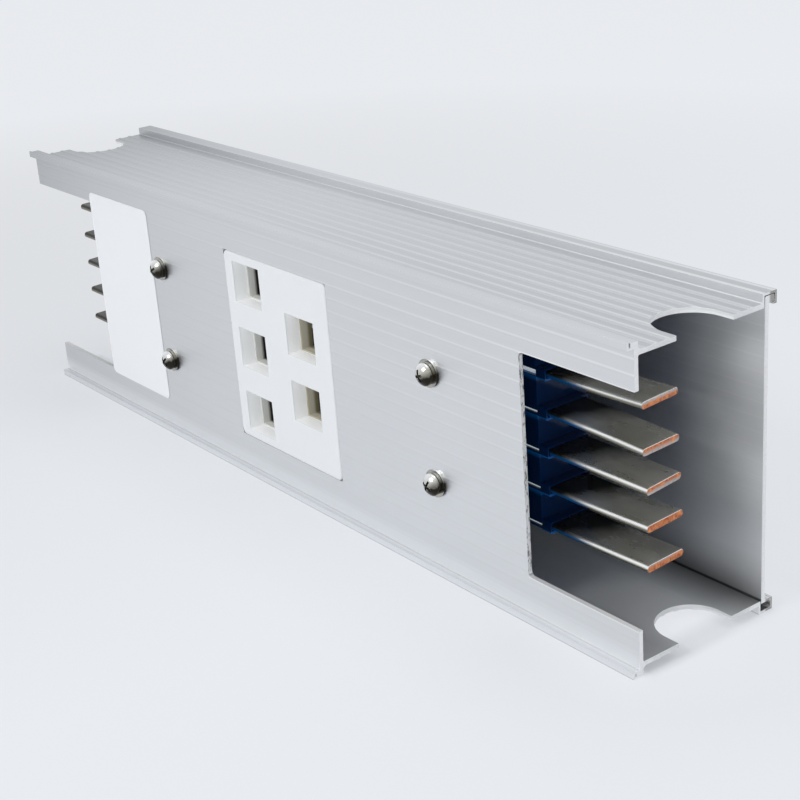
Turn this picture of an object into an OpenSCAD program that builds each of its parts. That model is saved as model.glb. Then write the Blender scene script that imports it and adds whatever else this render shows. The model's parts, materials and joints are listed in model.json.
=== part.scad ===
// Plug-in busway section: an open aluminium channel with a slide-in rear cover,
// flat busbars carried by moulded supports, and a moulded plug outlet in the front.
// X runs along the section, the front faces -Y, and the section stands on Z = 0.

/* [Section] */
// Length of the section
section_len = 455.5; // [420:0.5:1500]
// Height over the flange tips
section_h = 130; // [122:0.5:200]
// Depth from the front face to the back of the rear hooks
section_d = 72; // [64:0.5:120]
// Wall thickness of the channel and of the rear cover
wall_t = 2; // [1.6:0.1:3]
// Height of the flanges beyond the two webs
flange_h = 3.6; // [3.4:0.1:8]

/* [Extruded detail] */
// Distance the front lips stand out from the front face
lip_out = 3.3; // [2.8:0.1:6]
// Width of the slot in each front lip
lip_slot = 0.7; // [0.5:0.1:1.4]
// Distance the front flanges stay below the edge of their lips
lip_drop = 0.4; // [0:0.1:0.8]
// Thickness of the lips, the hooks and the cover's foot
lip_t = 1; // [0.8:0.05:1.2]
// Depth of each rear hook, from the flange to its back
hook_d = 7.6; // [7:0.1:12]
// Height of each rear hook
hook_h = 5.2; // [4.6:0.1:8]
// Height of the nib inside each rear hook
nib_h = 0.8; // [0.5:0.05:1]
// Distance between the raised lines
rib_pitch = 6; // [4:0.5:12]
// Width of a raised line on the front and on the cover
face_rib_w = 1.2; // [0.6:0.1:2]
// Height of a raised line on the front and on the cover
face_rib_h = 0.06; // [0.04:0.02:0.3]
// Height of that pattern above mid height
rib_offset = 1; // [0:0.5:3]
// Width of a raised line on the webs
web_rib_w = 2.4; // [1:0.1:4]
// Height of a raised line on the webs
web_rib_h = 0.2; // [0.1:0.05:0.4]
// Distance of one of the webs' raised lines behind the front face
web_rib_d = 33.8; // [30:0.2:36]
// Outside fillet between the webs and the front flanges
fillet_r = 1.5; // [0.5:0.1:2]
// Outside fillet at the rear flanges and at the roots of the lips
small_fillet_r = 0.4; // [0.2:0.1:1]

/* [End openings] */
// Length of the opening in the front at each end
window_len = 59.5; // [30:0.5:64]
// Height of the opening in the front at each end
window_h = 92.8; // [80:0.2:100]
// Corner radius of that opening
window_r = 2; // [0.5:0.5:6]
// Width of the round-ended notch in each web
notch_w = 28.6; // [12:0.2:36]
// Length of that notch
notch_len = 20.9; // [19:0.1:40]
// Distance of the notches behind the front face
notch_d = 34.7; // [26:0.1:42]

/* [Busbars] */
// Width of a busbar
bar_w = 20; // [10:0.5:24]
// Thickness of a busbar
bar_t = 3; // [2.5:0.5:6]
// Radius of a busbar's edges
bar_r = 1; // [0.2:0.1:1]
// Distance between busbar centres
bar_pitch = 16; // [15:0.5:17]
// Distance of the busbars behind the front face
bar_d = 15.6; // [15:0.1:22]
// Distance of the busbar ends from the section's ends
bar_setback = 13; // [8:0.5:30]

/* [Busbar supports] */
// Distance of each support from the section's end
support_inset = 67; // [64:0.5:80]
// Length of each support without its collars
support_len = 70; // [66:1:90]
// Width of a support behind the busbars
support_back = 4.5; // [2:0.5:10]
// Height of a support above the top busbar
support_top = 6; // [2:0.5:10]
// Height of a support below the bottom busbar
support_base = 1; // [0.8:0.1:10]
// Length of the collar round each busbar
collar_len = 5; // [2:0.5:6]
// Wall of the collar round each busbar
collar_t = 0.8; // [0.6:0.1:1.5]
// Height of the slit in front of every other busbar
slit_h = 1.1; // [0.8:0.1:2]
// Height of the slit in front of the top busbar
top_slit_h = 2.4; // [0.8:0.1:3]
// Diameter of a screw boss
boss_dia = 12; // [9:0.5:14]

/* [Plug outlet] */
// Width of the outlet
outlet_w = 81.5; // [78:0.5:90]
// Height of the outlet
outlet_h = 92; // [88:0.5:100]
// Distance of the outlet's centre from mid length
outlet_x = 4; // [-10:0.5:10]
// Distance the outlet stands out from the front face
outlet_proud = 0.5; // [0.2:0.1:1.5]
// Corner radius of the outlet
outlet_r = 3; // [1.5:0.5:6]
// Width of a socket
socket_w = 22; // [12:0.5:24]
// Height of a socket
socket_h = 19.5; // [10:0.5:22]
// Distance of the three-socket column from the outlet's centre
column_3_x = -22.75; // [-24:0.25:-22]
// Distance of the two-socket column from the outlet's centre
column_2_x = 18; // [16:0.1:22]
// Depth of a socket's wider mouth
mouth_d = 7; // [4:0.5:9]
// Step between a socket's mouth and its throat
throat_step = 0.6; // [0.3:0.1:1.5]
// Wall of the outlet's moulding
outlet_wall = 2; // [1.2:0.1:3]
// Width of the rim behind the front
rim_w = 3; // [2:0.5:5]

/* [Screws] */
// Distance of the near screws from the +X end
near_screw_inset = 114; // [104:1:120]
// Distance of the far screws from the -X end
far_screw_inset = 128.5; // [104:0.5:130]
// Thread diameter of a screw
screw_dia = 5; // [4:0.5:6]
// Length of a screw under its head
screw_len = 18; // [10:1:22]
// Head diameter of a screw
head_dia = 9.5; // [8:0.5:11]
// Head height of a screw
head_h = 3.4; // [2.6:0.1:4]
// Diameter of a flat washer
washer_dia = 12; // [10:0.5:14]
// Thickness of a flat washer
washer_t = 1; // [0.6:0.1:1.5]
// Diameter of a spring washer
spring_dia = 9.2; // [8:0.1:10]
// Thickness of a spring washer
spring_t = 1.3; // [0.8:0.1:1.8]

/* [Label] */
// Width of the label
label_w = 60; // [30:1:62]
// Height of the label
label_h = 100; // [60:1:104]
// Height of the label's centre above mid height
label_z = 1.5; // [0:0.1:4]
// Thickness of the label
label_t = 0.2; // [0.1:0.05:0.5]
// Corner radius of the label
label_r = 3; // [1:0.5:6]

/* [Hidden] */
$fn = 48;
bars = 5;
// Overlap that joins two forms, or carries a cut past a face
eps = 0.1;
// Clearances: sliding cover, bar in its slot, moulding in its cut-out, holes
cover_gap = 0.3;
slot_gap = 0.15;
outlet_gap = 0.2;
hole_gap = 0.3;
thread_gap = 0.05;

// Depths behind the front face
flange_d = section_d - hook_d;
hook_in_d = section_d - lip_t;
cover_d = flange_d + lip_t + cover_gap;
support_d = bar_d - collar_t - slot_gap;
support_back_d = bar_d + bar_w + support_back;
throat_d = bar_d - 2.6;

// Heights above mid height
flange_top_z = section_h / 2 - lip_drop;
web_out_z = section_h / 2 - flange_h;
web_in_z = web_out_z - wall_t;
hook_tip_z = section_h / 2 - hook_h;
hook_roof_z = section_h / 2 - lip_t;
lip_root_z = section_h / 2 - flange_h + 0.6;
bar_zs = [for (i = [0 : bars - 1]) ((bars - 1) / 2 - i) * bar_pitch];

// The screws pass between the outer two busbars of each side
screw_z = 1.5 * bar_pitch;
seat_out = face_rib_h;
head_out = seat_out + washer_t + spring_t;
screw_xs = [
    section_len / 2 - near_screw_inset,
    far_screw_inset - section_len / 2,
];
screw_places = [for (x = screw_xs) for (side = [1, -1]) [x, side * screw_z]];
screw_turns = [20, 65, 35, 50];

// Place of the front face that centres the whole part on Y = 0
face_y = (max(lip_out, head_out + head_h) - section_d) / 2;

label_x = window_len + label_w / 2 - section_len / 2;

// Moves the section's own axes (Y behind the face, Z from mid height) to the part's
module in_part() {
    translate([0, face_y, section_h / 2]) children();
}

// Extrudes a profile drawn as [depth, height] along X, centred on x
module along(len, x = 0) {
    translate([x, 0, 0])
        rotate([90, 0, 90])
            linear_extrude(len, center = true) children();
}

// Extrudes an outline drawn as [x, height] from depth d0 back to depth d1
module behind_face(d0, d1) {
    translate([0, d1, 0])
        rotate([90, 0, 0])
            linear_extrude(d1 - d0) children();
}

// Points Z out of the front face, with its origin out from the face at place [x, z]
module out_of_face(place, out) {
    translate([place[0], -out, place[1]]) rotate([90, 0, 0]) children();
}

module box_2d(low, high) {
    translate(low) square(high - low);
}

module round_rect(size, r) {
    square([size[0] - 2 * r, size[1]], center = true);
    square([size[0], size[1] - 2 * r], center = true);
    for (sx = [-1, 1], sy = [-1, 1])
        translate([sx * (size[0] / 2 - r), sy * (size[1] / 2 - r)]) circle(r);
}

// Fillet in the corner at the origin, filling towards +X and +Y
module fillet_2d(r) {
    difference() {
        translate([-eps, -eps]) square(r + eps);
        translate([r, r]) circle(r);
    }
}

// One raised line of width w and height h, a low arc standing up towards +Y
module rib_2d(w, h) {
    r = (w * w / 4 + h * h) / (2 * h);
    intersection() {
        box_2d([-w / 2, -eps], [w / 2, h + eps]);
        translate([0, h - r]) circle(r, $fn = 96);
    }
}

// Places of the raised lines between low and high, with one at start
function rib_row(low, high, start) = [
    for (i = [ceil((low - start) / rib_pitch) : floor((high - start) / rib_pitch)])
        start + i * rib_pitch
];

// Raised lines on an upright face: side -1 faces the front, 1 the back
module upright_ribs(d, side) {
    reach = web_in_z - face_rib_w;
    for (z = rib_row(-reach, reach, rib_offset + rib_pitch / 2))
        translate([d, z]) rotate(-90 * side) rib_2d(face_rib_w, face_rib_h);
}

// Web, front lip and rear hook of the upper half; nib_drop lowers the hook's nib
module half_profile(nib_drop) {
    first_d = wall_t + fillet_r + web_rib_w;
    last_d = flange_d - small_fillet_r - web_rib_w;
    box_2d([0, web_in_z], [flange_d + lip_t, web_out_z]);
    for (d = rib_row(first_d, last_d, web_rib_d))
        translate([d, web_out_z]) rib_2d(web_rib_w, web_rib_h);
    translate([wall_t, web_out_z]) fillet_2d(fillet_r);
    translate([wall_t, web_in_z]) mirror([0, 1]) fillet_2d(fillet_r / 2);
    translate([flange_d, web_out_z]) mirror([1, 0]) fillet_2d(small_fillet_r);
    front_lip();
    rear_hook(nib_drop);
}

// Slotted lip along the edge of the front
module front_lip() {
    slot_floor_z = lip_root_z + lip_t;
    box_2d([-lip_out, lip_root_z], [eps, slot_floor_z]);
    box_2d([-lip_out, lip_root_z], [lip_t - lip_out, section_h / 2]);
    box_2d([lip_t + lip_slot - lip_out, slot_floor_z - eps], [eps, flange_top_z]);
    translate([0, lip_root_z]) rotate(180) fillet_2d(small_fillet_r);
}

// Hook that holds an edge of the rear cover
module rear_hook(nib_drop) {
    nib_z = hook_tip_z + nib_drop;
    box_2d([flange_d, web_in_z], [flange_d + lip_t, section_h / 2]);
    box_2d([flange_d, hook_roof_z], [section_d, section_h / 2]);
    box_2d([hook_in_d, hook_tip_z], [section_d, section_h / 2]);
    box_2d([hook_in_d - nib_h, nib_z], [hook_in_d + eps, nib_z + nib_h]);
}

module channel_profile() {
    box_2d([0, -flange_top_z], [wall_t, flange_top_z]);
    upright_ribs(0, -1);
    half_profile(0);
    mirror([0, 1]) half_profile(lip_t);
}

module screw_holes_2d(dia) {
    for (place = screw_places) translate(place) circle(d = dia);
}

// Opening in the front and the notches in both webs, at the +X end
module end_cuts() {
    reach = window_len + window_r;
    translate([section_len / 2 - window_len + reach / 2, 0, 0])
        behind_face(-lip_out - eps, wall_t + eps)
            round_rect([reach, window_h], window_r);
    translate([section_len / 2 - notch_len + notch_w / 2, notch_d, -section_h]) {
        cylinder(h = 2 * section_h, d = notch_w);
        translate([0, -notch_w / 2, 0]) cube([notch_len, notch_w, 2 * section_h]);
    }
}

module channel() {
    in_part() color("gainsboro") difference() {
        along(section_len) channel_profile();
        end_cuts();
        mirror([1, 0, 0]) end_cuts();
        behind_face(-face_rib_h - eps, wall_t + eps) {
            translate([outlet_x, 0])
                square([outlet_w + 2 * outlet_gap, outlet_h + 2 * outlet_gap], center = true);
            screw_holes_2d(screw_dia + 2 * hole_gap);
        }
    }
}

module cover_profile() {
    foot_z = -hook_tip_z - lip_t;
    bead_z = hook_tip_z + nib_h + cover_gap;
    bead_size = [hook_in_d - cover_gap - cover_d, hook_roof_z - cover_gap - bead_z];
    box_2d([cover_d, foot_z], [cover_d + wall_t, bead_z + bead_size[1] / 2]);
    box_2d([cover_d, foot_z], [hook_in_d - cover_gap, -hook_tip_z]);
    translate([cover_d, bead_z] + bead_size / 2) round_rect(bead_size, bead_size[1] / 4);
    translate([cover_d + wall_t, -hook_tip_z]) fillet_2d(fillet_r / 2);
    upright_ribs(cover_d + wall_t, 1);
}

module rear_cover() {
    in_part() color("silver") along(section_len) cover_profile();
}

module busbar(i) {
    in_part() color("rosybrown")
        along(section_len - 2 * bar_setback)
            translate([bar_d + bar_w / 2, bar_zs[i]])
                round_rect([bar_w, bar_t], bar_r);
}

// Support at the +X end, with its screws at distance inset from that end
module support(inset) {
    low_z = bar_zs[bars - 1] - bar_t / 2 - support_base;
    high_z = bar_zs[0] + bar_t / 2 + support_top;
    size = [support_back_d - support_d, high_z - low_z];
    block_x = section_len / 2 - support_inset - support_len / 2;
    collar_x = section_len / 2 - support_inset + collar_len / 2;
    difference() {
        union() {
            along(support_len, block_x)
                translate([support_d + size[0] / 2, (low_z + high_z) / 2])
                    round_rect(size, 2 * collar_t);
            along(collar_len + eps, collar_x - eps / 2) collars();
            for (side = [1, -1])
                out_of_face([section_len / 2 - inset, side * screw_z], -support_d - eps)
                    cylinder(h = support_d + eps - wall_t, d = boss_dia);
        }
        along(2 * support_len, block_x + support_len / 2) bar_slots();
        along(support_len + eps, block_x - eps / 2) front_slits();
        for (side = [1, -1])
            out_of_face([section_len / 2 - inset, side * screw_z], -support_back_d + support_back)
                cylinder(h = support_back_d, d = screw_dia + 2 * thread_gap);
    }
}

module bar_slots() {
    size = [bar_w, bar_t] + [2, 2] * slot_gap;
    for (z = bar_zs) translate([bar_d + bar_w / 2, z]) square(size, center = true);
}

// Slits that open the slots towards the front, the highest one at the top busbar
module front_slits() {
    depth = collar_t + slot_gap + eps;
    for (i = [0 : bars - 1])
        translate([bar_d - depth / 2, bar_zs[i]])
            square([depth + eps, i == 0 ? top_slit_h : slit_h], center = true);
}

module collars() {
    size = [bar_w + 2 * (slot_gap + collar_t), bar_t + 2 * (slot_gap + collar_t)];
    for (z = bar_zs) translate([bar_d + bar_w / 2, z]) round_rect(size, collar_t);
}

module support_near() {
    in_part() color("midnightblue") support(near_screw_inset);
}

module support_far() {
    in_part() color("midnightblue") mirror([1, 0, 0]) support(far_screw_inset);
}

// Places of the sockets, each in line with one busbar
socket_places = [
    for (i = [0 : bars - 1])
        [outlet_x + (i % 2 == 0 ? column_3_x : column_2_x), bar_zs[i]]
];

module sockets_2d(grow) {
    for (place = socket_places)
        translate(place) square([socket_w, socket_h] + [2, 2] * grow, center = true);
}

// Front plate with a rim behind the channel's face, and a throat to each busbar
module plug_outlet() {
    size = [outlet_w, outlet_h];
    in_part() color("white") difference() {
        union() {
            behind_face(-outlet_proud, wall_t + outlet_wall)
                translate([outlet_x, 0]) round_rect(size, outlet_r);
            behind_face(wall_t, wall_t + outlet_wall)
                translate([outlet_x, 0])
                    round_rect(size + [2, 2] * rim_w, outlet_r + rim_w);
            behind_face(wall_t, throat_d) sockets_2d(outlet_wall - throat_step);
        }
        behind_face(-outlet_proud - eps, mouth_d) sockets_2d(0);
        behind_face(mouth_d - eps, throat_d + eps) sockets_2d(-throat_step);
    }
}

module label() {
    in_part() color("whitesmoke")
        behind_face(-face_rib_h - label_t, -face_rib_h)
            translate([label_x, label_z]) round_rect([label_w, label_h], label_r);
}

// Pan head screw with a cross recess, seated at the origin
module screw(i) {
    dome_r = (head_dia * head_dia / 4 + head_h * head_h) / (2 * head_h) * 1.15;
    recess_d = 0.6 * head_h;
    in_part() color("lightsteelblue") out_of_face(screw_places[i], head_out) {
        difference() {
            rotate_extrude() intersection() {
                square([head_dia / 2, head_h]);
                translate([0, head_h - dome_r]) circle(dome_r, $fn = 96);
            }
            for (turn = [0, 90])
                rotate(screw_turns[i] + turn)
                    translate([0, 0, head_h - recess_d / 2 + eps])
                        cube([0.55 * head_dia, 0.12 * head_dia, recess_d], center = true);
        }
        translate([0, 0, -screw_len]) cylinder(h = screw_len + eps, d = screw_dia);
    }
}

module ring(outer, inner, t) {
    difference() {
        cylinder(h = t, d = outer);
        translate([0, 0, -eps]) cylinder(h = t + 2 * eps, d = inner);
    }
}

// Split ring between the head and the flat washer
module spring_washer(i) {
    slit = 0.8;
    in_part() color("silver") out_of_face(screw_places[i], seat_out + washer_t) difference() {
        ring(spring_dia, screw_dia + hole_gap, spring_t);
        rotate(screw_turns[i] - 90)
            translate([0, -slit / 2, -eps]) cube([spring_dia, slit, spring_t + 2 * eps]);
    }
}

module flat_washer(i) {
    in_part() color("silver") out_of_face(screw_places[i], seat_out)
        ring(washer_dia, screw_dia + hole_gap, washer_t);
}

channel();
rear_cover();
support_near();
support_far();
busbar(0);  // busbar_1
busbar(1);  // busbar_2
busbar(2);  // busbar_3
busbar(3);  // busbar_4
busbar(4);  // busbar_5
plug_outlet();
label();
screw(0);  // screw_1
screw(1);  // screw_2
screw(2);  // screw_3
screw(3);  // screw_4
spring_washer(0);  // spring_washer_1
spring_washer(1);  // spring_washer_2
spring_washer(2);  // spring_washer_3
spring_washer(3);  // spring_washer_4
flat_washer(0);  // flat_washer_1
flat_washer(1);  // flat_washer_2
flat_washer(2);  // flat_washer_3
flat_washer(3);  // flat_washer_4
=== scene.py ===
"""Looks of the plug-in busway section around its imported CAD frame: finishes, pieces, floor, light and camera."""

import json
import math

import bmesh
import bpy
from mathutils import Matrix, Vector

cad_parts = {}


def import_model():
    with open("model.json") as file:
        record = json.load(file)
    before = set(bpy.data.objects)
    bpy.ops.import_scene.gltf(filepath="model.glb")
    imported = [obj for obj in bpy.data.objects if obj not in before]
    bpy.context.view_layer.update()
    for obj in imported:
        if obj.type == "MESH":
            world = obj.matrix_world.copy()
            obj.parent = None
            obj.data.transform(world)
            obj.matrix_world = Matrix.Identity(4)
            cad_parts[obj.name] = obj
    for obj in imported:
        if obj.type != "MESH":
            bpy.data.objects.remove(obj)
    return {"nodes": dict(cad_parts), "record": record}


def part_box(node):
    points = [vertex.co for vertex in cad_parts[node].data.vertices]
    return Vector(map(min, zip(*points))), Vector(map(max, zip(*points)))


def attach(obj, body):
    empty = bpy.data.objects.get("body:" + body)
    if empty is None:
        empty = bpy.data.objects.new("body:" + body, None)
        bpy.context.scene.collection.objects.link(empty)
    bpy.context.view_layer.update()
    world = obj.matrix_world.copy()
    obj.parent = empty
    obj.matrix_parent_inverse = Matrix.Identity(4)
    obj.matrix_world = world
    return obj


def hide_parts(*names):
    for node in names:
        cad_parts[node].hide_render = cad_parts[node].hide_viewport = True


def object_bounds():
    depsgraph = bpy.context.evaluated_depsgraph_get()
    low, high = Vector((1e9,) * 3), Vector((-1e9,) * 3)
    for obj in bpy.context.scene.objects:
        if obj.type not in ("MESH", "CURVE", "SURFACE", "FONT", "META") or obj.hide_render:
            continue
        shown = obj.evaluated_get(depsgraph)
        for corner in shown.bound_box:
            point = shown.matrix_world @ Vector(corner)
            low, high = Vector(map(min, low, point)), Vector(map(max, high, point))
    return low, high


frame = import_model()
cad_low, cad_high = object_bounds()

MM = 0.001
ROOT = "root"
BLACK = (0.0, 0.0, 0.0)
WHITE = (1.0, 1.0, 1.0)

# Measures of the section that the frame's boxes do not give
LIP_OUT = 3.3 * MM  # from the front face to the lips' front
WALL = 2 * MM
WEB_OUT = 61.4 * MM  # from mid height to a web's outer face
RIB_PITCH = 6 * MM
WEB_RIB = 0.2 * MM  # height of a web's rib
WEB_RIB_DEPTH = 34.6 * MM  # one rib of the webs, behind the front face
WEB_RIBS = (4 * MM, 63.9 * MM)  # where the ribs begin and end, behind the front face
REAR_EDGE = 65.2 * MM  # the webs' edge before the rear hooks
FACE_RIB_RISE = 4.5 * MM  # one rib of the front, above mid height
FACE_TOP = 59.7 * MM  # where the front's ribs end, above mid height
WINDOW_LEN = 59.5 * MM  # the near window, from the end
WINDOW_HALF = 46.4 * MM  # from mid height to a window's long cut
NOTCH_REACH = 24 * MM  # a web's notch, from the end
BAR_PITCH = 16 * MM
MOUTH = 7.5 * MM  # depth of an outlet socket's mouth

# Places read from the frame
channel_low, channel_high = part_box("channel")
cover_low, cover_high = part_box("rear_cover")
outlet_low, outlet_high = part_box("plug_outlet")
label_low, label_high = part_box("label")
support_low, support_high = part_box("support_near")
bar_boxes = [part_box(f"busbar_{number}") for number in range(1, 6)]
mid_z = (cad_low.z + cad_high.z) / 2
end_x = channel_high.x
face_y = channel_low.y + LIP_OUT
window_x = end_x - WINDOW_LEN
outlet_centre = (outlet_low + outlet_high) / 2
outlet_half = (outlet_high - outlet_low) / 2


# ---------------------------------------------------------------- node helpers

# Bands of a noise pattern that carry its contrast, and shares of a normal that count as facing a way
MILD = (0.3, 0.7)
FIRM = (0.35, 0.65)
FACING = (0.6, 0.8)


class Nodes:
    """Short calls for the nodes of one tree."""

    def __init__(self, tree):
        self.tree = tree

    def add(self, kind, **settings):
        node = self.tree.nodes.new(kind)
        for name, value in settings.items():
            setattr(node, name, value)
        return node

    def link(self, source, target):
        self.tree.links.new(source, target)

    def feed(self, socket, value):
        """Links a socket's output, or sets a plain number or colour."""
        if isinstance(value, bpy.types.NodeSocket):
            self.link(value, socket)
        else:
            socket.default_value = value

    def math(self, operation, a, b=0.0, c=0.0, clamp=False):
        node = self.add("ShaderNodeMath", operation=operation, use_clamp=clamp)
        for socket, value in zip(node.inputs, (a, b, c)):
            self.feed(socket, value)
        return node.outputs[0]

    def times(self, first, *others):
        for other in others:
            first = self.math("MULTIPLY", first, other)
        return first

    def most(self, first, *others):
        for other in others:
            first = self.math("MAXIMUM", first, other)
        return first

    def minus(self, a, b, clamp=False):
        return self.math("SUBTRACT", a, b, clamp=clamp)

    def off(self, value, place):
        """How far a value is from a place, to either side."""
        return self.math("ABSOLUTE", self.minus(value, place))

    def weigh(self, a, share_a, b, share_b):
        """a and b, each times its share, added up."""
        return self.math("MULTIPLY_ADD", a, share_a, self.times(b, share_b))

    def seen(self):
        """1 where the camera, or a mirror or glass before it, sees the backdrop itself."""
        path = self.add("ShaderNodeLightPath").outputs
        return self.most(path["Is Glossy Ray"], path["Is Transmission Ray"], path["Is Camera Ray"])

    def blend(self, share, one, other):
        """One shader that turns into another by a share."""
        node = self.add("ShaderNodeMixShader")
        self.feed(node.inputs[0], share)
        self.link(one.outputs[0], node.inputs[1])
        self.link(other.outputs[0], node.inputs[2])
        return node


class Finish(Nodes):
    """A material on one Principled shader, with the patterns that the finishes use."""

    def __init__(self, name):
        self.material = bpy.data.materials.new(name)
        self.material.use_nodes = True
        super().__init__(self.material.node_tree)
        self.tree.nodes.clear()
        self.output = self.add("ShaderNodeOutputMaterial")
        self.shader = self.add("ShaderNodeBsdfPrincipled")
        self.link(self.shader.outputs["BSDF"], self.output.inputs["Surface"])
        self.place = self.add("ShaderNodeTexCoord").outputs["Object"]

    def set(self, **values):
        """Sets or links the shader's inputs: Base_Color=..., Roughness=... and so on."""
        for name, value in values.items():
            self.feed(self.shader.inputs[name.replace("_", " ")], value)

    def scaled(self, per_x, per_y, per_z, turn=(0, 0, 0)):
        """Object coordinates with a scale of their own on each axis, in features per metre."""
        node = self.add("ShaderNodeMapping", vector_type="POINT")
        self.feed(node.inputs["Vector"], self.place)
        node.inputs["Rotation"].default_value = [math.radians(angle) for angle in turn]
        node.inputs["Scale"].default_value = (per_x, per_y, per_z)
        return node.outputs[0]

    def noise(self, per_x, per_y, per_z, detail=2.0, roughness=0.5, turn=(0, 0, 0)):
        """Noise with a number of features per metre along each axis."""
        node = self.add("ShaderNodeTexNoise")
        self.feed(node.inputs["Vector"], self.scaled(per_x, per_y, per_z, turn))
        node.inputs["Scale"].default_value = 1.0
        node.inputs["Detail"].default_value = detail
        node.inputs["Roughness"].default_value = roughness
        return node.outputs["Fac"]

    def span(self, value, low, high, to_low=0.0, to_high=1.0):
        """Maps low..high to to_low..to_high, held at the ends."""
        node = self.add("ShaderNodeMapRange", clamp=True)
        for socket, number in zip(node.inputs, (value, low, high, to_low, to_high)):
            self.feed(socket, number)
        return node.outputs[0]

    def fade(self, value, low, high, to_low=0.0, to_high=1.0):
        """The same for a distance, with low and high in mm: a mask that begins at low and is full at high."""
        return self.span(value, low * MM, high * MM, to_low, to_high)

    def mix(self, amount, a, b):
        """Mixes two colours, or two outputs that hold colours."""
        node = self.add("ShaderNodeMix", data_type="RGBA")
        self.feed(node.inputs["Factor"], amount)
        self.feed(node.inputs["A"], (*a, 1.0) if isinstance(a, tuple) else a)
        self.feed(node.inputs["B"], (*b, 1.0) if isinstance(b, tuple) else b)
        return node.outputs["Result"]

    def axes(self, vector):
        node = self.add("ShaderNodeSeparateXYZ")
        self.feed(node.inputs[0], vector)
        return node.outputs

    def distance(self, vector, point):
        node = self.add("ShaderNodeVectorMath", operation="DISTANCE")
        self.link(vector, node.inputs[0])
        node.inputs[1].default_value = point
        return node.outputs["Value"]

    def facing(self):
        """The shading normal's parts along X, Y and Z."""
        return self.axes(self.add("ShaderNodeNewGeometry").outputs["Normal"])

    def normal(self):
        """The true face normal's parts along X, Y and Z, without their signs."""
        parts = self.axes(self.add("ShaderNodeNewGeometry").outputs["True Normal"])
        return [self.math("ABSOLUTE", part) for part in parts]

    def bump(self, *layers):
        """Stacks height patterns, each given as (height, distance in mm)."""
        normal = None
        for height, distance in layers:
            node = self.add("ShaderNodeBump")
            node.inputs["Strength"].default_value = 1.0
            node.inputs["Distance"].default_value = distance * MM
            self.feed(node.inputs["Height"], height)
            if normal is not None:
                self.link(normal, node.inputs["Normal"])
            normal = node.outputs[0]
        self.link(normal, self.shader.inputs["Normal"])


def pale(level, blue=1.03):
    """A nearly neutral metal or plastic colour, a little towards blue."""
    return (level, level * (1 + (blue - 1) / 2), level * blue)


# ---------------------------------------------------------------- extruded aluminium

METAL = 0.92  # how metallic the outer faces are
SATIN = (0.32, 0.43)  # their roughness
SAWN_ROUGH = (0.40, 0.62)
RIB_LIGHT_FROM = -60 * MM  # painted rib highlights and shade grow from here towards the near end
END_LIGHT = 45  # mm from an end that its light reaches inside

# How much painted shade darkens the front against the metal, what the webs add to that, and the far end at its
# bottom and top
FRONT_SHADE = 0.11
WEB_SHADE = 0.14
FAR_SHADE = (0.12, 0.27)

# Levels against the metal's own, and colours
# Painted shade in the ribs' valleys, painted light from the floor, and painted shade along the bottom edge
VALLEY_SHADE, LIT, SILL_SHADE = 0.84, 1.16, 0.75
DRAWN = (0.965, 1.02)
SAWN = (0.98, 1.1)
# Smears, then painted shade in the lower rear corner and darker painted shade in its seam
SMEAR, CORNER_SHADE, SEAM_SHADE = pale(0.45), pale(0.12, 1.0), pale(0.01, 1.0)
CHIPPED = (pale(0.22, 1.0), pale(0.93, 1.0))
# A darker, warmer tone on the rear hooks' cut ends
HOOK_END_TONE = (0.26, 0.25, 0.21)


class Section(Finish):
    """A finish on the extruded profile, with the distances and faces that its patterns share."""

    def __init__(self, name):
        super().__init__(name)
        self.along, self.across, self.up = self.axes(self.place)
        self.depth = self.minus(self.across, face_y)
        self.rise = self.minus(self.up, mid_z)
        self.height = self.math("ABSOLUTE", self.rise)
        self.over_web = self.minus(self.height, WEB_OUT)
        self.past_wall = self.minus(self.depth, WALL)
        self.past_cover = self.minus(self.across, cover_low.y)
        self.past_end = self.minus(self.math("ABSOLUTE", self.along), end_x)
        self.to_end, self.to_front, self.to_top = self.normal()
        self.inside = self.hollow()
        self.outside = self.minus(1.0, self.inside)
        # Share of painted rib light and shade on the outer faces: full at the near end, a tenth far from it
        self.rib_light_reach = self.times(self.outside, self.span(self.along, RIB_LIGHT_FROM, end_x, 0.1, 1.0))

    def hollow(self):
        """1 on the inner faces of the channel and the cover, 0 on the outer ones."""
        half = (cover_low.y - face_y) / 2
        past_half = self.minus(self.off(self.depth, half), half)
        return self.times(
            self.fade(self.over_web, -0.8, -1.2),
            self.fade(past_half, 1, -0.5),
            self.fade(self.past_wall, 0, 0.2),
        )


def window_cuts_and_highlight(finish):
    """Bare metal on the windows' long cuts, and a painted highlight line along the near window's edges."""
    past_cut = finish.minus(finish.height, WINDOW_HALF)
    # Painted highlight line along the near window's top and bottom edges on the front
    edge = finish.times(
        finish.fade(finish.off(past_cut, 0.1 * MM), 0.35, 0.2),
        finish.fade(finish.minus(finish.along, window_x), 0, 1),
        finish.fade(finish.past_wall, 0, -1),
    )
    cut = finish.times(
        finish.span(finish.to_top, *FACING),
        finish.fade(past_cut, 3.6, 2.6),
        finish.fade(finish.past_wall, 0.2, 0),
    )
    return finish.most(edge, cut)


def notch_rims(finish):
    """Bare metal on the cut faces of the webs' notches."""
    past_inner_face = finish.minus(finish.over_web, -WALL)
    return finish.times(
        finish.span(finish.to_top, 0.5, 0.3),
        finish.fade(finish.minus(finish.past_end, -NOTCH_REACH), -1, 0),
        finish.fade(past_inner_face, -0.1, 0.1),
        finish.fade(finish.over_web, 0.4, 0.3),
        finish.fade(finish.past_cover, -6, -7, 0.0, 0.8),
        finish.fade(finish.depth, 6, 7),
    )


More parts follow.
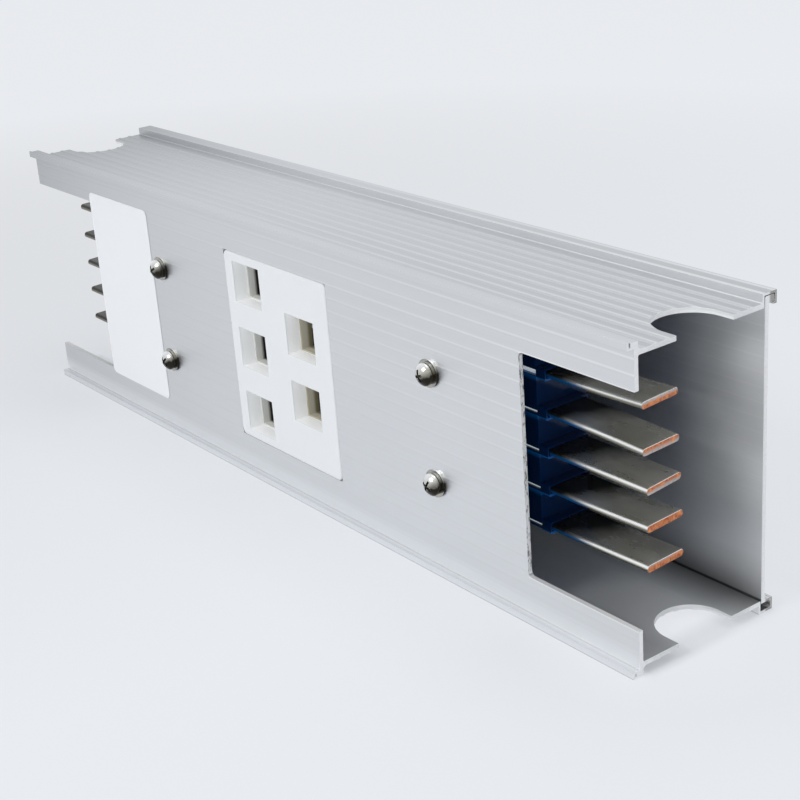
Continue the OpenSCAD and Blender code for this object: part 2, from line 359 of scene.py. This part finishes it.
def painted_rib_light(finish, body, level):
    """Paints shade into the valleys between the webs' ribs and a painted highlight on all crests; also gives where
    the webs' painted highlight falls.
    """
    off_web_rib = finish.math("PINGPONG", finish.minus(finish.depth, WEB_RIB_DEPTH), RIB_PITCH / 2)
    off_face_rib = finish.math("PINGPONG", finish.minus(finish.rise, FACE_RIB_RISE), RIB_PITCH / 2)
    valley_shade = finish.times(
        finish.fade(off_web_rib, 0.6, 1.5),
        finish.span(finish.to_top, *FACING),
        finish.fade(finish.depth, 4, 5),
        finish.rib_light_reach,
    )
    face_crest_highlight = finish.times(
        finish.fade(off_face_rib, 0.55, 0.15),
        finish.span(finish.to_front, *FACING),
        finish.fade(finish.minus(finish.rise, FACE_TOP), 0.1, -0.1),
        finish.fade(finish.rise, -30, 45, 0.1, 1.0),
        finish.rib_light_reach,
    )
    web_crest_highlight = finish.times(
        finish.most(finish.fade(off_web_rib, 0.9, 0.35), finish.fade(finish.off(finish.depth, REAR_EDGE), 1, 0.5)),
        finish.span(finish.to_top, 0.5, 0.7),
        finish.fade(finish.depth, 5, 8),
        finish.rib_light_reach,
    )
    body = finish.mix(valley_shade, body, pale(level * VALLEY_SHADE))
    body = finish.mix(face_crest_highlight, body, WHITE)
    return finish.mix(web_crest_highlight, body, WHITE), web_crest_highlight


def foot(finish, body, level):
    """Painted light from the floor on the lower front and its lip, and painted shade in a crease at the lip and
    along the bottom edge; also gives where the painted light falls.
    """
    low_face = finish.times(finish.fade(finish.rise, -54, -64), finish.span(finish.to_front, *FACING))
    ledge = finish.times(
        finish.fade(finish.depth, 0.1, -0.5),
        finish.span(finish.to_top, *FACING, 0.0, 0.4),
        finish.fade(finish.rise, 0, -10),
    )
    lit = finish.times(finish.most(low_face, ledge), finish.outside, finish.fade(finish.depth, 0, -3, 1.0, 0.45))
    # Painted shade in the crease at the lip's root
    crease_shade = finish.times(
        finish.fade(finish.minus(finish.rise, -WEB_OUT), 0.8, 0.2),
        finish.span(finish.to_front, 0.95, 0.85),
        finish.fade(finish.depth, -1, -0.8, 0.0, 0.15),
        finish.fade(finish.depth, 1, 0),
    )
    # Painted shade along the bottom edge
    sill_shade = finish.times(finish.outside, finish.fade(finish.minus(finish.up, cad_low.z), 0.5, 0.3))
    body = finish.mix(lit, body, pale(level * LIT))
    body = finish.mix(crease_shade, body, BLACK)
    return finish.mix(sill_shade, body, pale(level * SILL_SHADE)), lit


def smears_and_corner_shade(finish, body):
    """Smears on the inner faces, and painted shade in the lower rear corner, darkest in the seam there."""
    corner = finish.distance(finish.scaled(0, 1, 1), (0, cover_low.y, mid_z - WEB_OUT + WALL))
    smears = finish.noise(16, 16, 34, detail=1.5)
    smeared = finish.times(finish.inside, finish.span(smears, 0.45, 0.7, 0.0, 0.35))
    corner_shade = finish.times(finish.inside, finish.fade(corner, 19, 1, 0.0, 0.8))
    seam_shade = finish.times(finish.inside, finish.fade(corner, 0.8, 0.5))
    body = finish.mix(smeared, body, SMEAR)
    body = finish.mix(corner_shade, body, CORNER_SHADE)
    return finish.mix(seam_shade, body, SEAM_SHADE)


def sawn_face(finish, saw_lines, level):
    """Cut faces: saw lines at the ends, chips on the windows' cuts, a darker, warmer tone on the rear hooks' cut
    ends.
    """
    chips = finish.noise(300, 900, 350, detail=4.0, roughness=0.65)
    chipped = finish.mix(finish.span(chips, 0.36, 0.5), *CHIPPED)
    cut = finish.mix(finish.span(saw_lines, *MILD), *[pale(level * share, 1.0) for share in SAWN])
    cut = finish.mix(finish.fade(finish.past_end, 5 - END_LIGHT, -END_LIGHT), cut, chipped)
    return finish.mix(finish.fade(finish.past_cover, 2, 3, 0.0, 0.75), cut, HOOK_END_TONE)


def shaded(finish, body, lit):
    """Paints shade on the outer faces, most on the webs and at the far end's top, but not where the painted light
    from the floor falls.
    """
    far = finish.math("POWER", finish.span(finish.along, 0.0, -end_x), 2.0)
    painted_shade = finish.math("MULTIPLY_ADD", finish.to_top, WEB_SHADE, FRONT_SHADE)
    painted_shade = finish.math("MULTIPLY_ADD", far, finish.span(finish.up, cad_low.z, cad_high.z, *FAR_SHADE), painted_shade)
    return finish.mix(finish.times(painted_shade, finish.minus(1.0, lit), finish.outside), body, BLACK)


def aluminium(name, level, metal_deep, metal_end):
    """Satin mill-finish extrusion: die lines along X, cloudy patches, sawn ends.

    metal_deep and metal_end set how metallic its inner faces are deep inside and at the ends.
    """
    finish = Section(name)
    fine = finish.noise(3, 2600, 2600, detail=3.0)
    coarse = finish.noise(1.2, 420, 420)
    clouds = finish.noise(14, 26, 26, detail=4.0, roughness=0.6)
    speckle = finish.noise(1500, 1500, 1500)
    saw_lines = finish.noise(200, 700, 3200, turn=(20, 0, 0))
    lines = finish.weigh(coarse, 0.55, fine, 0.45)
    shade = finish.weigh(clouds, 0.35, lines, 0.65)
    sawn = finish.span(finish.to_end, 0.8, 0.95)

    body = finish.mix(finish.span(shade, *MILD), *[pale(level * share) for share in DRAWN])
    body, web_highlight = painted_rib_light(finish, body, level)
    # Bare cut metal is painted white and matte; the same mask also lays the painted highlights on the near window's
    # edges and on the webs' crests
    bare = finish.most(notch_rims(finish), window_cuts_and_highlight(finish), finish.times(web_highlight, 0.45))
    body, lit = foot(finish, finish.mix(bare, body, WHITE), level)
    body = shaded(finish, smears_and_corner_shade(finish, body), lit)
    finish.set(Base_Color=finish.mix(sawn, body, sawn_face(finish, saw_lines, level)))

    inner_metal = finish.fade(finish.past_end, -END_LIGHT, 0, metal_deep, metal_end)
    metal = finish.math("MULTIPLY_ADD", finish.inside, finish.minus(inner_metal, METAL), METAL)
    finish.set(Metallic=finish.minus(metal, bare, clamp=True))
    rough = finish.span(shade, *MILD, *SATIN)
    rough_cut = finish.span(saw_lines, *MILD, *SAWN_ROUGH)
    finish.set(Roughness=finish.math("MULTIPLY_ADD", sawn, finish.minus(rough_cut, rough), rough))
    die_lines = finish.times(lines, finish.minus(1.0, sawn))
    finish.bump((die_lines, 0.009), (finish.times(saw_lines, sawn), 0.06), (speckle, 0.004))
    return finish.material


# ---------------------------------------------------------------- busbars

TIN_METAL = 0.8
TIN_ROUGH = (0.20, 0.36)
TIN = ((0.66, 0.64, 0.54), (0.84, 0.82, 0.74))
# Painted highlight on the upper edges, painted dark reflection near the support, painted shade underneath with a
# painted blue reflection of the support
TIN_EDGE_HIGHLIGHT = (0.93, 0.92, 0.89)
DARK_SUPPORT_REFLECTION = (0.035, 0.033, 0.026)
UNDERSIDE_SHADE = (0.20, 0.19, 0.15)
BLUE_SUPPORT_REFLECTION = (0.01, 0.22, 0.62)
SHEARED = ((0.42, 0.40, 0.38), (0.66, 0.60, 0.56))
COPPER = ((0.40, 0.10, 0.04), (0.84, 0.35, 0.15))
FILM = (0.93, 0.96, 0.96)
# Painted glow of the white film inside the supports
PAINTED_FILM_LIGHT = (0.75, 0.85, 0.88, 1.0)


def painted_tin_sides(finish, stains, past, across):
    """Tin with a painted highlight on its upper edges, a painted dark reflection of the support near it, and
    painted shade underneath with a painted blue reflection of the support.
    """
    down = finish.facing()[2]
    behind = finish.minus(across, bar_boxes[0][0].y)
    slant = finish.math("MULTIPLY_ADD", behind, -0.5, past)
    uneven = finish.math("MULTIPLY_ADD", stains, 16 * MM, slant)
    blue_reflection_reach = finish.times(finish.fade(past, 22, 12), finish.fade(past, -6, -5))
    tin = finish.mix(finish.span(stains, *FIRM), *TIN)
    tin = finish.mix(finish.span(down, 0.97, 0.8), tin, TIN_EDGE_HIGHLIGHT)
    tin = finish.mix(finish.fade(uneven, 14, 30), DARK_SUPPORT_REFLECTION, tin)
    return finish.mix(finish.span(down, 0.4, 0.0), tin, finish.mix(blue_reflection_reach, UNDERSIDE_SHADE, BLUE_SUPPORT_REFLECTION))


def tinned_copper(name):
    """Dull tin plating with olive stains, a painted dark reflection of the support and other painted light and
    shade; copper shows on the cut ends, and film with a painted glow pales the bars in the supports.
    """
    finish = Finish(name)
    stains = finish.noise(30, 60, 60, detail=4.0, roughness=0.6)
    rolled = finish.noise(8, 500, 500)
    grain = finish.noise(2200, 2200, 2200)
    torn = finish.noise(300, 900, 500, detail=3.0, roughness=0.6)
    end = finish.span(finish.normal()[0], 0.7, 0.9)
    along, across, _ = finish.axes(finish.place)
    past = finish.minus(along, support_high.x)

    cut = finish.add("ShaderNodeAttribute", attribute_name="bare").outputs["Fac"]
    bare = finish.span(finish.math("MULTIPLY_ADD", torn, 0.9, cut), 0.85, 1.05)
    metals = [finish.mix(finish.span(torn, *FIRM), *shades) for shades in (SHEARED, COPPER)]
    face = finish.mix(end, painted_tin_sides(finish, stains, past, across), finish.mix(bare, *metals))
    film = finish.times(finish.fade(past, -4, -5), finish.fade(finish.minus(along, support_low.x), 0, 1))
    finish.set(Base_Color=finish.mix(film, face, FILM), Metallic=finish.minus(TIN_METAL, film, clamp=True))
    # The film's painted glow
    finish.set(Emission_Color=PAINTED_FILM_LIGHT, Emission_Strength=finish.times(film, 0.35))
    rough = finish.span(finish.weigh(stains, 0.9, rolled, 0.1), *FIRM, *TIN_ROUGH)
    finish.set(Roughness=finish.math("MULTIPLY_ADD", end, 0.25, rough))
    finish.bump((rolled, 0.0015), (grain, 0.001), (finish.times(torn, end), 0.08))
    return finish.material


# ---------------------------------------------------------------- plastics

NAVY = (0.002, 0.018, 0.072)
# Painted azure highlight below each bar
AZURE_HIGHLIGHT = (0.0, 0.13, 0.42)
OUTLET_WHITE = (0.89, 0.90, 0.91)
# Painted light, as a glow, inside the sockets
SOCKET_PAINTED_LIGHT = (0.98, 0.98, 0.95, 1.0)
# Throats of the column of three sockets and of the column of two: painted shade on their walls, browner in the
# column of two, and darker painted shade on what closes them
THROAT_SHADES = ((0.78, 0.78, 0.74), (0.52, 0.48, 0.36))
THROAT_END_SHADES = ((0.03, 0.02, 0.012), (0.30, 0.26, 0.16))


def painted_azure_bands(finish, colour):
    """Paints the blue plastic lighter azure below each bar, a painted highlight where light runs along its shelves.
    """
    up = finish.axes(finish.place)[2]
    below = finish.math("FLOORED_MODULO", finish.minus(bar_boxes[0][0].z, up), BAR_PITCH)
    return finish.mix(finish.times(finish.fade(below, 2.2, 0.2), finish.fade(below, -0.1, 0.1)), colour, AZURE_HIGHLIGHT)


def socket_shades(finish, colour):
    """Painted light, as a glow, that white plastic scatters into its sockets, and painted shade in the throats
    behind them.
    """
    along, across, up = finish.axes(finish.place)
    depth = finish.minus(across, outlet_low.y)
    past_mouth = finish.minus(depth, MOUTH)
    past_side = finish.minus(finish.off(along, outlet_centre.x), outlet_half.x)
    past_top = finish.minus(finish.off(up, outlet_centre.z), outlet_half.z)
    deep = finish.fade(past_mouth, -0.2, 0)
    lit = finish.times(
        finish.minus(1.0, finish.normal()[1]),
        finish.fade(past_side, -4.5, -5),
        finish.fade(past_top, -4.5, -5),
        finish.fade(depth, 0, 1, 0.0, 0.17),
        finish.span(deep, 0.0, 1.0, 1.0, 0.4),
        finish.fade(past_mouth, 4.5, 3),
    )
    finish.set(Emission_Color=SOCKET_PAINTED_LIGHT, Emission_Strength=lit)
    column = finish.fade(finish.minus(along, outlet_centre.x), -1, 1)
    throat, end = [finish.mix(column, *colours) for colours in (THROAT_SHADES, THROAT_END_SHADES)]
    return finish.mix(deep, colour, finish.mix(finish.fade(past_mouth, 3, 4.5), throat, end))


def moulded(name, colour, rough, grain_depth, clouds_depth=0.06, specular=0.5, soft=0.0, tint=None):
    """Moulded plastic: fine grain, faint flow clouds and uneven gloss; tint(finish, colour) adds to its colour."""
    finish = Finish(name)
    clouds = finish.noise(40, 40, 40, detail=3.0)
    grain = finish.noise(2500, 2500, 2500)
    dark = tuple(part * (1 - clouds_depth) for part in colour)
    light = tuple(min(1.0, part * (1 + clouds_depth)) for part in colour)
    body = finish.mix(finish.span(clouds, *MILD), dark, light)
    finish.set(Base_Color=tint(finish, body) if tint else body)
    finish.set(Roughness=finish.span(clouds, *MILD, rough * 0.9, rough * 1.15))
    finish.set(Specular_IOR_Level=specular, Subsurface_Weight=soft, Subsurface_Radius=[2 * MM] * 3)
    finish.bump((grain, grain_depth))
    return finish.material


# ---------------------------------------------------------------- screws and label

ZINC_ROUGH = (0.14, 0.26)
ZINC = ((0.50, 0.48, 0.40), (0.78, 0.78, 0.75))
# Painted highlight and painted shade by which way a face turns, and painted shade in the gap between the washers
ZINC_HIGHLIGHT = (0.95, 0.95, 0.95)
ZINC_SHADE = (0.03, 0.026, 0.02)
WASHER_GAP_SHADE = (0.05, 0.045, 0.035)
LABEL_WHITE = ((0.97, 0.975, 0.985), (0.95, 0.96, 0.975))
LABEL_ROUGH = (0.42, 0.55)


def zinc_plate(name):
    """Bright zinc plate with a faint warm passivation and worn patches; painted highlight on faces turned up and
    left, painted shade on faces turned down and right, and painted shade in the gap between the washers.
    """
    finish = Finish(name)
    tint = finish.noise(260, 260, 260, detail=3.0)
    grain = finish.noise(3000, 3000, 3000)
    right, _, rise = finish.facing()
    shadow_side = finish.math("MULTIPLY_ADD", rise, -0.8, finish.times(right, 0.5))
    shadow_side = finish.math("MULTIPLY_ADD", finish.minus(tint, 0.5), 0.8, shadow_side)
    plate = finish.mix(finish.span(tint, *FIRM), *ZINC)
    plate = finish.mix(finish.span(shadow_side, -0.25, -0.7), plate, ZINC_HIGHLIGHT)
    plate = finish.mix(finish.span(shadow_side, -0.15, 0.3), plate, ZINC_SHADE)
    out = finish.minus(face_y, finish.axes(finish.place)[1])
    gap_shade = finish.times(finish.fade(out, 1.6, 1.7), finish.fade(out, 2.3, 2.2), 0.85)
    finish.set(Base_Color=finish.mix(gap_shade, plate, WASHER_GAP_SHADE))
    finish.set(Metallic=1.0, Roughness=finish.span(tint, *MILD, *ZINC_ROUGH))
    finish.bump((grain, 0.004), (tint, 0.02))
    return finish.material


def sticker(name):
    """Plain white film with a faint weave of its backing, a little greyer towards its top."""
    finish = Finish(name)
    fibre = finish.noise(900, 900, 900, detail=4.0, roughness=0.65)
    clouds = finish.noise(30, 30, 30)
    height = finish.math("MULTIPLY_ADD", clouds, 20 * MM, finish.axes(finish.place)[2])
    towards_top = finish.span(height, label_low.z, label_high.z + 10 * MM)
    finish.set(Base_Color=finish.mix(towards_top, *LABEL_WHITE))
    finish.set(Roughness=finish.span(fibre, *MILD, *LABEL_ROUGH))
    finish.bump((fibre, 0.004))
    return finish.material


FINISHES = {
    "aluminium_channel": aluminium("aluminium_channel_finish", 0.86, 0.58, 0.58),
    "aluminium_cover": aluminium("aluminium_cover_finish", 0.86, 0.86, 0.2),
    "blue_support": moulded("blue_support_finish", NAVY, 0.12, 0.001, specular=0.25, tint=painted_azure_bands),
    "tinned_bar": tinned_copper("tinned_bar_finish"),
    "white_outlet": moulded("white_outlet_finish", OUTLET_WHITE, 0.42, 0.006, 0.01, soft=0.05, tint=socket_shades),
    "zinc_steel": zinc_plate("zinc_steel_finish"),
    "label": sticker("label_finish"),
}
for part in frame["record"]["subparts"]:
    frame["nodes"][part["node"]].material_slots[0].material = FINISHES[part["material_slot"]]


# ---------------------------------------------------------------- busbar pieces

BAR_EDGE = 1.4 * MM  # radius along a bar
CUT_EDGE = 0.15 * MM  # chamfer of its cut ends
FREE_STEPS = 10  # rings on the bent stretch
HELD_END = 4 * MM  # straight stretch at the far end

# Each bar's cut (run of its front and back corner past the nominal end, in mm), the rise of its tip in mm,
# and the share of bare copper at the lower and upper edge of the cut
BARS = (
    ((0.7, -0.9), 1.1, (1.0, 0.2)),
    ((0.7, -0.45), -1.1, (0.3, 0.8)),
    ((2.5, 0.3), 0.0, (0.2, 0.9)),
    ((2.4, 1.1), 1.0, (0.9, 0.9)),
    ((2.4, 1.25), 0.8, (1.0, 0.4)),
)


def keep(piece, node, slot):
    """Links a piece that stands for a CAD node, with its body, slot and finish."""
    bpy.context.scene.collection.objects.link(piece)
    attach(piece, ROOT)
    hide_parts(node)
    piece.data.materials.clear()
    piece.data.materials.append(FINISHES[slot])


def round_section(low, high, radius, steps):
    """Points (y, z) round a rectangle whose corners are rounded."""
    points = []
    for turn, (y, z) in enumerate(((high.y, high.z), (low.y, high.z), (low.y, low.z), (high.y, low.z))):
        centre_y = y + (radius if y == low.y else -radius)
        centre_z = z + (radius if z == low.z else -radius)
        for step in range(steps + 1):
            angle = math.pi / 2 * (turn + step / steps)
            points.append((centre_y + radius * math.cos(angle), centre_z + radius * math.sin(angle)))
    return points


def skin(mesh, rings):
    """Joins rings of points by side faces and closes both ends."""
    for one, other in zip(rings, rings[1:]):
        for index in range(len(one)):
            after = (index + 1) % len(one)
            mesh.faces.new((one[index], one[after], other[after], other[index]))
    mesh.faces.new(rings[0][::-1])
    mesh.faces.new(rings[-1])
    bmesh.ops.recalc_face_normals(mesh, faces=mesh.faces)
    for face in mesh.faces:
        face.smooth = True


def busbar(number, cut, tip, copper):
    """Strip with rounded edges: bent a little past the near support and cut askew at its ends."""
    low, high = bar_boxes[number]
    section = round_section(low, high, BAR_EDGE, 5)
    centre_y, centre_z = (low.y + high.y) / 2, (low.z + high.z) / 2
    free = high.x - support_high.x
    mesh = bmesh.new()
    bare = mesh.verts.layers.float.new("bare")

    def skew(y, side):
        depth = (y - low.y) / (high.y - low.y)
        front, back = cut if side > 0 else (cut[1], cut[0])
        return side * (front + (back - front) * depth) * MM

    def ring(x, inset=0.0, side=0, cap=False):
        shrink_y = 1 - 2 * inset / (high.y - low.y)
        shrink_z = 1 - 2 * inset / (high.z - low.z)
        out = max(0.0, (x - support_high.x) / free)
        loop = []
        for y, z in section:
            y, z = centre_y + (y - centre_y) * shrink_y, centre_z + (z - centre_z) * shrink_z
            vert = mesh.verts.new((x + (skew(y, side) if side else 0), y, z + tip * MM * out * out))
            if cap:
                height = (z - low.z) / (high.z - low.z)
                vert[bare] = copper[0] + (copper[1] - copper[0]) * height
            loop.append(vert)
        return loop

    skin(mesh, [
        ring(low.x, CUT_EDGE, -1, cap=True),
        ring(low.x + CUT_EDGE, 0, -1),
        ring(low.x + HELD_END),
        *[ring(support_high.x + free * step / FREE_STEPS) for step in range(FREE_STEPS)],
        ring(high.x - CUT_EDGE, 0, 1),
        ring(high.x, CUT_EDGE, 1, cap=True),
    ])
    data = bpy.data.meshes.new(f"bar_strip_{number + 1}")
    mesh.to_mesh(data)
    mesh.free()
    data.set_sharp_from_angle(angle=math.radians(40))
    keep(bpy.data.objects.new(data.name, data), f"busbar_{number + 1}", "tinned_bar")


for number, (cut, tip, copper) in enumerate(BARS):
    busbar(number, cut, tip, copper)


# ---------------------------------------------------------------- pieces with rounded edges

FLAT_EDGE = math.radians(0.5)  # edges flatter than this are dissolved
ROUNDED_EDGE = math.radians(50)  # edges sharper than this are rounded or stay sharp
SOFT_EDGE = math.radians(25)  # a rib or fillet bends less than this at each edge
NARROW = 1.9 * MM  # width of the widest facet of a rib, fillet or round cut
WEB_RIB_GAIN = 1.6
OUTER_HEIGHT = 57 * MM  # from mid height; the channel's edges beyond it or near a notch are all rounded
OUTLET_RIM = 6.5 * MM  # plate between its outline and the sockets
SOCKET_SHARE = 0.3  # rounding of a socket's front edge and of every other inner edge, against the outline's
INNER_SHARE = 0.12


def remodel(node, name, slot, width, adjust):
    """Replaces a CAD node by a copy whose edges are rounded.

    adjust(mesh) may move points, and returns a function that gives each sharp edge its share of width.
    """
    piece = frame["nodes"][node].copy()
    piece.name = name
    piece.data = piece.data.copy()
    mesh = bmesh.new()
    mesh.from_mesh(piece.data)
    bmesh.ops.remove_doubles(mesh, verts=mesh.verts, dist=0.001 * MM)
    bmesh.ops.dissolve_limit(mesh, angle_limit=FLAT_EDGE, verts=mesh.verts, edges=mesh.edges)
    for face in mesh.faces:
        face.smooth = True
    share = adjust(mesh)
    weight = mesh.edges.layers.float.new("bevel_weight_edge")
    for edge in mesh.edges:
        if len(edge.link_faces) == 2 and edge.calc_face_angle() > ROUNDED_EDGE:
            edge[weight] = share(edge)
            edge.smooth = edge[weight] > 0
    mesh.to_mesh(piece.data)
    mesh.free()
    if "custom_normal" in piece.data.attributes:
        piece.data.attributes.remove(piece.data.attributes["custom_normal"])
    keep(piece, node, slot)
    bevel = piece.modifiers.new("edges", "BEVEL")
    bevel.width = width
    bevel.segments = 3
    bevel.limit_method = "WEIGHT"
    bevel.use_clamp_overlap = False
    bevel.harden_normals = True


def middle(edge):
    return (edge.verts[0].co + edge.verts[1].co) / 2


def flatten(mesh):
    """Shades only the narrow facets of ribs, fillets and round cuts smoothly, and walls flat."""
    for face in mesh.faces:
        bends = [edge.calc_face_angle() for edge in face.edges if len(edge.link_faces) == 2]
        width = face.calc_area() / max(edge.calc_length() for edge in face.edges)
        face.smooth = width < NARROW and any(0 < bend < SOFT_EDGE for bend in bends)


def cover_edges(mesh):
    """Rounds every sharp edge."""
    flatten(mesh)
    return lambda edge: 1.0


def channel_edges(mesh):
    """Raises the webs' ribs to their full height; the windows' long edges and the screw holes stay sharp."""
    for vert in mesh.verts:
        beyond = abs(vert.co.z - mid_z) - WEB_OUT
        depth = vert.co.y - face_y
        if 0 < beyond < 2 * WEB_RIB and WEB_RIBS[0] < depth < WEB_RIBS[1]:
            vert.co.z += math.copysign(beyond, vert.co.z - mid_z) * (WEB_RIB_GAIN - 1)
    flatten(mesh)

    def share(edge):
        place = middle(edge)
        height = abs(place.z - mid_z)
        outer = height > OUTER_HEIGHT or abs(place.x) > end_x - NOTCH_REACH
        window_side = abs(place.x - window_x) < 1 * MM and height < WINDOW_HALF - 3 * MM
        return 1.0 if outer or window_side else 0.0

    return share


def outlet_edges(mesh):
    """Rounds the plate's outline well, and its sockets a little."""
    flatten(mesh)
    reach = outlet_half - Vector((1, 1, 1)) * OUTLET_RIM

    def share(edge):
        if any(vert.co.y >= outlet_low.y + 0.01 * MM for vert in edge.verts):
            return INNER_SHARE
        away = middle(edge) - outlet_centre
        return 1.0 if abs(away.x) > reach.x or abs(away.z) > reach.z else SOCKET_SHARE

    return share


remodel("channel", "channel_body", "aluminium_channel", 0.12 * MM, channel_edges)
remodel("rear_cover", "cover_body", "aluminium_cover", 0.12 * MM, cover_edges)
remodel("plug_outlet", "outlet_moulding", "white_outlet", 1.0 * MM, outlet_edges)


# ---------------------------------------------------------------- floor, light and camera

BACKDROP = (0.83, 0.85, 0.885, 1.0)
CLOTH = ((0.80, 0.825, 0.86), (0.82, 0.845, 0.88))
DIM_CLOTH = pale(0.5, 1.0)
DIM_FROM = (0.1, -0.7)  # along X, where the cloth turns dim and is dim
FLOOR_HALF = 12.0

# The floor turns into the backdrop's colour away from a place: between which distances, and its shares there
PALE_CENTRE = (-0.1, -0.05, 0.0)
PALE_FROM = (0.2, 0.9)
PALE_SHARE = (0.52, 0.95)

SKY = (0.96, 0.98, 1.0, 1.0)
SKY_LEVEL = 0.62
LAMP_TARGET = (0, 0, 0.06)
LAMPS = {
    # place and size in metres, power in watts
    "key": ((-0.1, -1.7, 1.4), (0.8, 0.6), 12.5),
    "top": ((0.0, 0.2, 1.8), (1.8, 1.2), 8),
}

# The camera as solved from the photo's straight edges
LENS = 73.13
CAMERA_PLACE = (0.59309, -0.39561, 0.31884)
CAMERA_TURN = (68.1264, 4.0553, 52.4560)


def backdrop_share(finish):
    """How much of the backdrop's own colour the floor shows: more around the near end, which paints light over the
    floor's shadow there, and less in the shadow under the near end.
    """
    along, across, _ = finish.axes(finish.place)
    share = finish.span(finish.distance(finish.place, PALE_CENTRE), *PALE_FROM, *PALE_SHARE)
    off_end = finish.distance(finish.place, (end_x - 10 * MM, 0, 0))
    # More of the backdrop's colour around the near end paints light over the floor's shadow there
    share = finish.most(share, finish.fade(off_end, 75, 20, 0.5, 0.86))
    past_end = finish.minus(along, end_x)
    depth = finish.minus(across, face_y)
    shadow = finish.times(
        finish.fade(past_end, 5, 0),
        finish.fade(past_end, -14, -6),
        finish.fade(depth, 0, 5, 0.0, 0.6),
        finish.fade(depth, 16, 36, 1.0, 0.6),
        finish.fade(finish.minus(across, cover_high.y), 12, 2),
    )
    return finish.times(share, finish.minus(1.0, shadow))


def floor():
    """Pale cloth that fades into the backdrop, and that lets the object be seen from below."""
    mesh = bpy.data.meshes.new("floor")
    corners = [(x * FLOOR_HALF, y * FLOOR_HALF, 0) for x, y in ((-1, -1), (1, -1), (1, 1), (-1, 1))]
    mesh.from_pydata(corners, [], [(0, 1, 2, 3)])
    plane = bpy.data.objects.new("floor", mesh)
    bpy.context.scene.collection.objects.link(plane)
    finish = Finish("floor_finish")
    weave = finish.noise(900, 900, 900)
    cloth = finish.mix(finish.span(weave, *MILD), *CLOTH)
    along = finish.axes(finish.place)[0]
    finish.set(Base_Color=finish.mix(finish.span(along, *DIM_FROM), cloth, DIM_CLOTH))
    finish.set(Roughness=0.9, Specular_IOR_Level=0.0)
    glow = finish.add("ShaderNodeEmission")
    glow.inputs["Color"].default_value = BACKDROP
    share = finish.times(finish.seen(), backdrop_share(finish))
    surface = finish.blend(share, finish.shader, glow)
    beneath = finish.add("ShaderNodeNewGeometry").outputs["Backfacing"]
    whole = finish.blend(beneath, surface, finish.add("ShaderNodeBsdfTransparent"))
    finish.link(whole.outputs[0], finish.output.inputs["Surface"])
    plane.data.materials.append(finish.material)


def world():
    """Even light from all round; the camera, metal and glass see the backdrop's colour."""
    studio = bpy.data.worlds.new("studio")
    bpy.context.scene.world = studio
    studio.use_nodes = True
    nodes = Nodes(studio.node_tree)
    light, seen = studio.node_tree.nodes["Background"], nodes.add("ShaderNodeBackground")
    light.inputs["Color"].default_value = SKY
    light.inputs["Strength"].default_value = SKY_LEVEL
    seen.inputs["Color"].default_value = BACKDROP
    whole = nodes.blend(nodes.seen(), light, seen)
    nodes.link(whole.outputs[0], studio.node_tree.nodes["World Output"].inputs["Surface"])


def area_lamp(name, place, size, power):
    lamp = bpy.data.lights.new(name, "AREA")
    lamp.shape = "RECTANGLE"
    lamp.size, lamp.size_y = size
    lamp.energy = power
    holder = bpy.data.objects.new(name, lamp)
    holder.location = place
    holder.rotation_euler = (Vector(LAMP_TARGET) - Vector(place)).to_track_quat("-Z", "Y").to_euler()
    bpy.context.scene.collection.objects.link(holder)


floor()
world()
for name, (place, size, power) in LAMPS.items():
    area_lamp(name, place, size, power)

lens = bpy.data.cameras.new("camera")
lens.lens = LENS
camera = bpy.data.objects.new("camera", lens)
camera.location = CAMERA_PLACE
camera.rotation_euler = [math.radians(angle) for angle in CAMERA_TURN]
bpy.context.scene.collection.objects.link(camera)
bpy.context.scene.camera = camera

bpy.context.scene.view_settings.view_transform = "Standard"

[list(corner) for corner in (cad_low, cad_high)]
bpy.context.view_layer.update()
